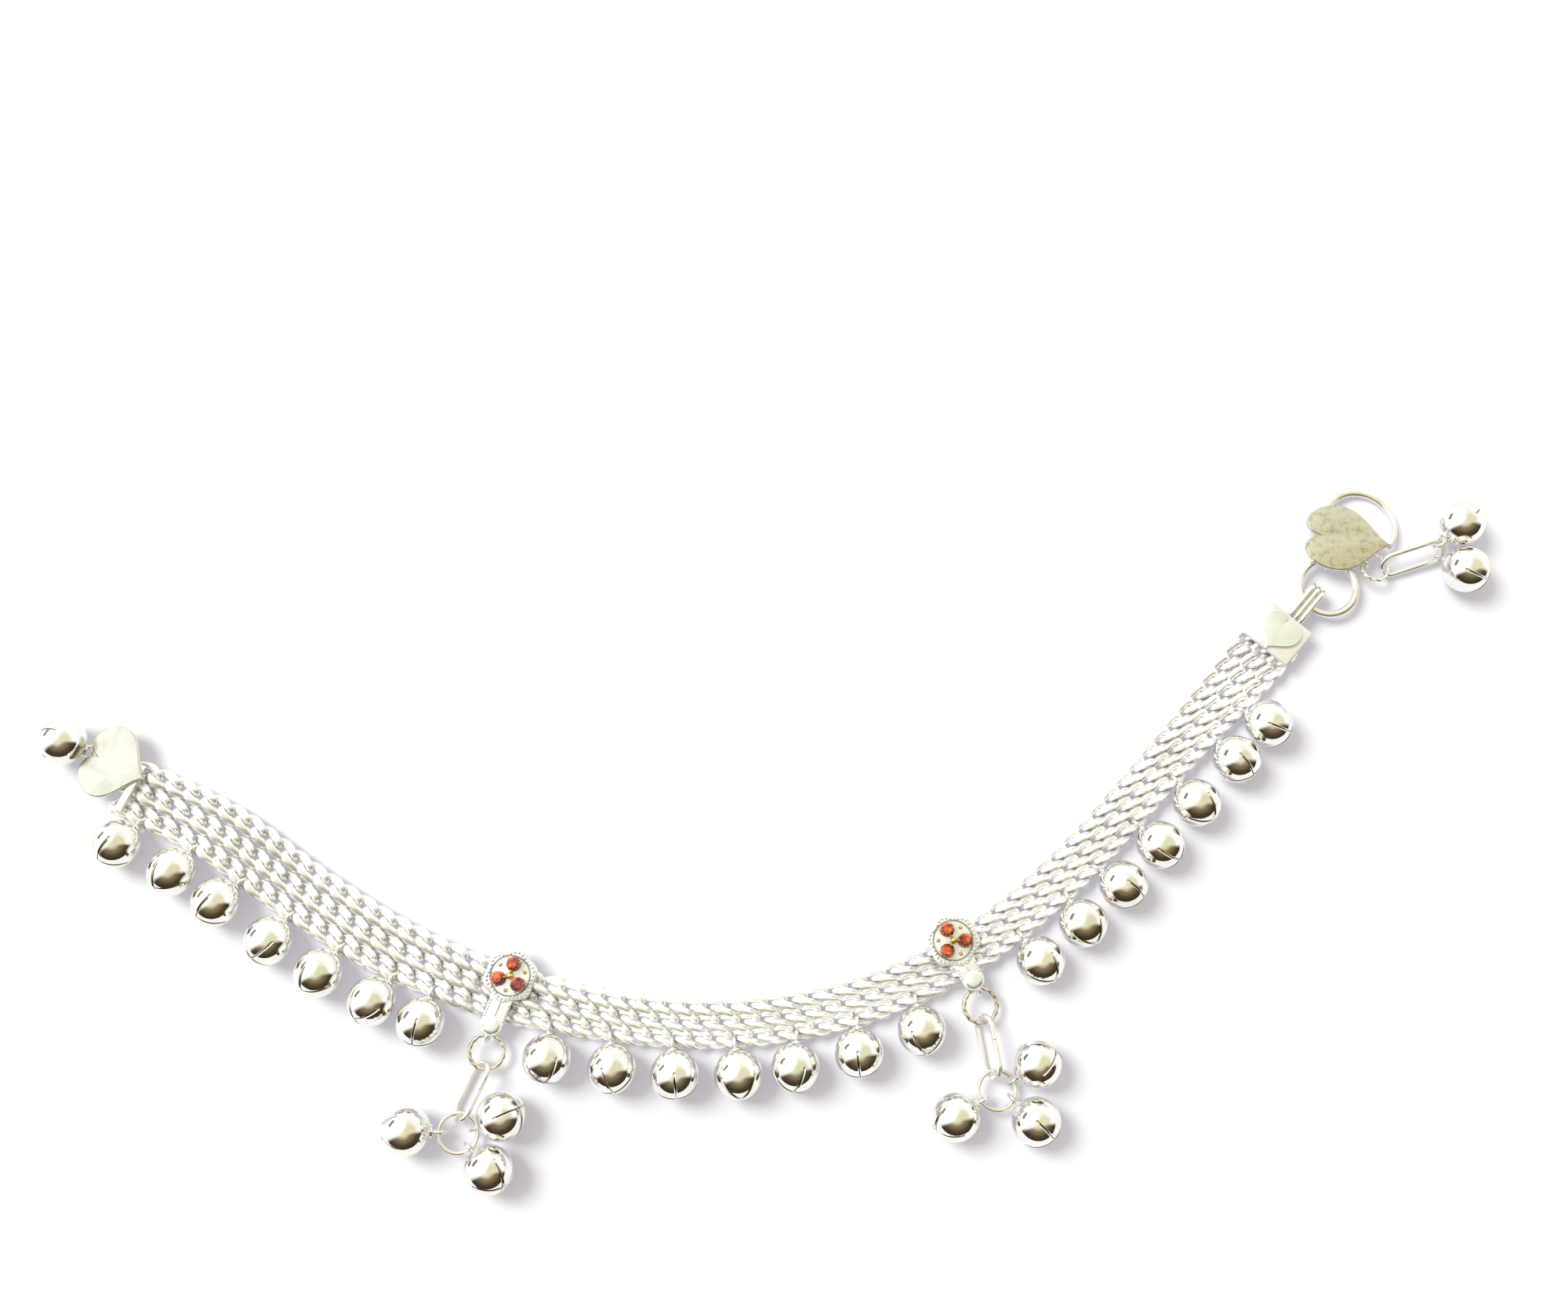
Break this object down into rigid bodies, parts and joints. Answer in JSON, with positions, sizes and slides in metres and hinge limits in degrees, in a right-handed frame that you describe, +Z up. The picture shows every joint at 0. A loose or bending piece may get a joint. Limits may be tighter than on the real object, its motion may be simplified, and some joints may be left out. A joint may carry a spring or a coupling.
{
  "type": "payal anklet",
  "caption": "silver payal anklet lying open: parallel curb chains with round bells along one edge, stone stations with hanging bell clusters, a heart plate end and a hook clasp end",
  "frame": {"origin": "on the surface that the anklet lies on, under the middle of its box", "axes": "+X along the anklet's longest side, from the heart plate end to the clasp end; +Y towards the inside of its curve; +Z up, away from the surface"},
  "size_m": [0.1728, 0.0828, 0.0056],
  "materials": {
    "chain_silver": "bright silver wire, lightly worn",
    "bell_silver": "polished thin silver",
    "fitting_silver": "silver plate and wire, satin to polished",
    "stone_red": "polished cut orange-red stone"
  },
  "bodies": {
    "root": {"chain_top": "chain_silver", "chain_middle": "chain_silver", "chain_bottom": "chain_silver", "bell_left_1": "bell_silver", "bell_left_2": "bell_silver", "bell_left_3": "bell_silver", "bell_left_4": "bell_silver", "bell_left_5": "bell_silver", "bell_left_6": "bell_silver", "bell_left_7": "bell_silver", "bell_middle_1": "bell_silver", "bell_middle_2": "bell_silver", "bell_middle_3": "bell_silver", "bell_middle_4": "bell_silver", "bell_middle_5": "bell_silver", "bell_middle_6": "bell_silver", "bell_middle_7": "bell_silver", "bell_right_1": "bell_silver", "bell_right_2": "bell_silver", "bell_right_3": "bell_silver", "bell_right_4": "bell_silver", "bell_right_5": "bell_silver", "bell_right_6": "bell_silver", "bell_right_7": "bell_silver", "bell_cluster_left_1": "bell_silver", "bell_cluster_left_2": "bell_silver", "bell_cluster_left_3": "bell_silver", "bell_cluster_right_1": "bell_silver", "bell_cluster_right_2": "bell_silver", "bell_cluster_right_3": "bell_silver", "bell_clasp_1": "bell_silver", "bell_clasp_2": "bell_silver", "bell_end": "bell_silver", "station_ring_left": "fitting_silver", "station_ring_right": "fitting_silver", "junction_ring_left": "fitting_silver", "junction_ring_right": "fitting_silver", "clasp_ring": "fitting_silver", "jump_ring": "fitting_silver", "long_link_left": "fitting_silver", "long_link_right": "fitting_silver", "clasp_link": "fitting_silver", "station_left": "fitting_silver", "station_right": "fitting_silver", "end_heart": "fitting_silver", "end_cap": "fitting_silver", "hook_clasp": "fitting_silver", "stone_left_1": "stone_red", "stone_left_2": "stone_red", "stone_left_3": "stone_red", "stone_right_1": "stone_red", "stone_right_2": "stone_red", "stone_right_3": "stone_red"}
  },
  "joints": []
}
